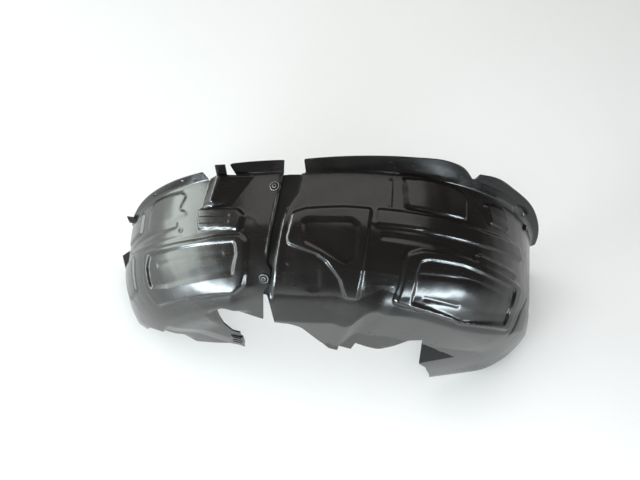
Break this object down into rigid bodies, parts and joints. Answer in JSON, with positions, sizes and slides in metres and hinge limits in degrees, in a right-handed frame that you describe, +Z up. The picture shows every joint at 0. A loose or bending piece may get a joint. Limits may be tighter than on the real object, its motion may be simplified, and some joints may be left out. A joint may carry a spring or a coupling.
{
  "type": "wheel arch splash shield",
  "caption": "Two-section moulded plastic splash shield for a wheel arch, with embossed panels, an outboard flange, a clipped seam and suspension cut-outs.",
  "frame": {"origin": "middle of the footprint, on the floor under the two lower ends", "axes": "+X from the front lower end to the rear lower end, +Y outboard along the axle line towards the flange, +Z up"},
  "size_m": [0.7874, 0.2752, 0.4933],
  "materials": {
    "liner": "smooth black moulding",
    "clip": "matt black",
    "steel": "dull plated"
  },
  "bodies": {
    "root": {"front_section": "liner", "rear_section": "liner", "seam_clip_bodies": "clip", "seam_clip_pins": "clip", "arm_spring_nut": "steel", "lobe_screw": "steel"}
  },
  "joints": []
}
